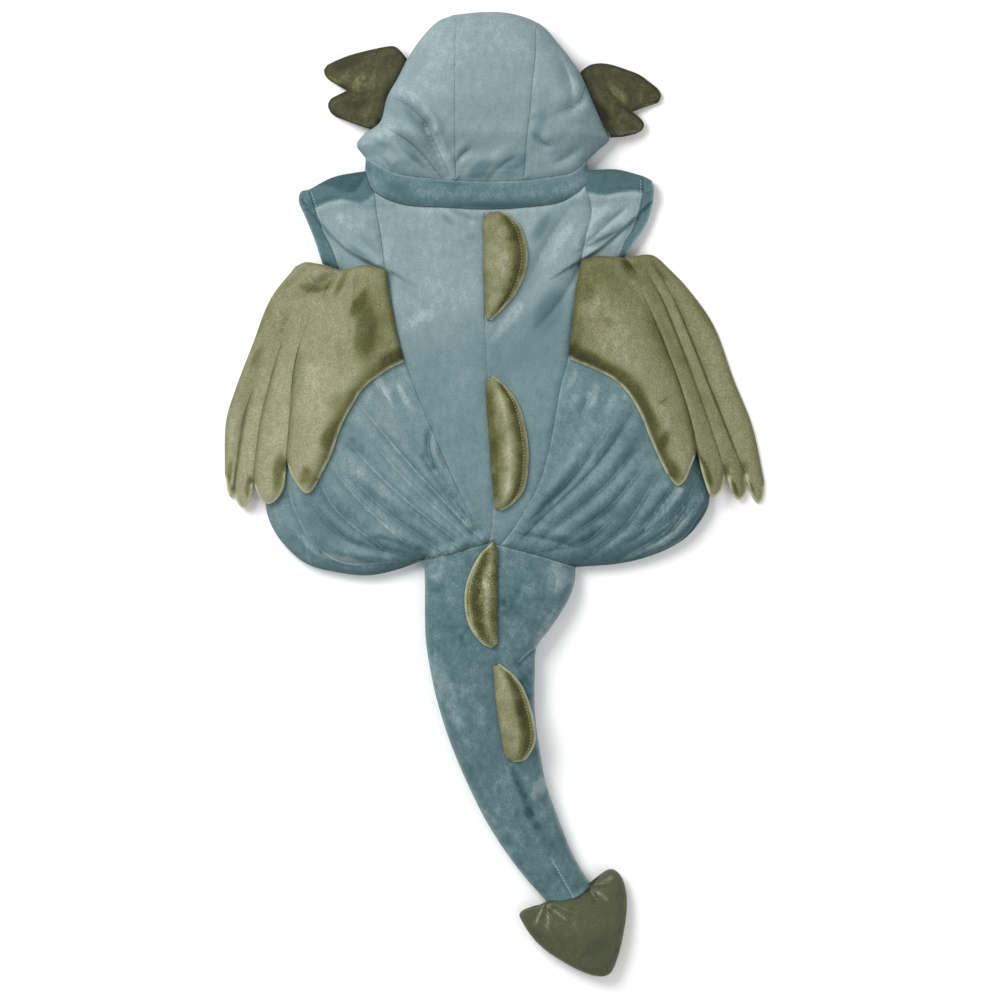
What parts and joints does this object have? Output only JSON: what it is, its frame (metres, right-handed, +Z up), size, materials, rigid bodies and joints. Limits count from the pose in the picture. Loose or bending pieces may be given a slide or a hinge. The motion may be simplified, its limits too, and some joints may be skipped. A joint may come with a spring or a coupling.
{
  "type": "dragon_costume",
  "caption": "Toddler's velour dragon costume laid face down: hooded romper with padded wings, back spines, fin ears and a stuffed tail with an arrow tip.",
  "frame": {"origin": "centre of the footprint of the laid costume, on the floor", "axes": "+X to the right of the view from above, +Y from the tail towards the hood, +Z up from the floor"},
  "size_m": [0.5951, 1.0609, 0.0693],
  "materials": {
    "velour_pale_blue": "brushed velour, lighter nap",
    "velour_teal": "brushed velour",
    "velour_olive": "padded velour",
    "velour_dark_olive": "padded velour"
  },
  "bodies": {
    "root": {"hood_centre": "velour_pale_blue", "hood_side_left": "velour_pale_blue", "hood_side_right": "velour_pale_blue", "back_centre_left": "velour_pale_blue", "back_centre_right": "velour_pale_blue", "sleeve_left": "velour_pale_blue", "sleeve_right": "velour_pale_blue", "collar": "velour_teal", "back_side_left": "velour_teal", "back_side_right": "velour_teal", "front_left": "velour_teal", "front_right": "velour_teal", "sleeve_hem_left": "velour_teal", "sleeve_hem_right": "velour_teal", "tail": "velour_teal", "wing_left": "velour_olive", "wing_right": "velour_olive", "spine_1": "velour_olive", "spine_2": "velour_olive", "spine_3": "velour_olive", "spine_4": "velour_olive", "ear_left": "velour_dark_olive", "ear_right": "velour_dark_olive", "tail_tip": "velour_dark_olive"}
  },
  "joints": []
}
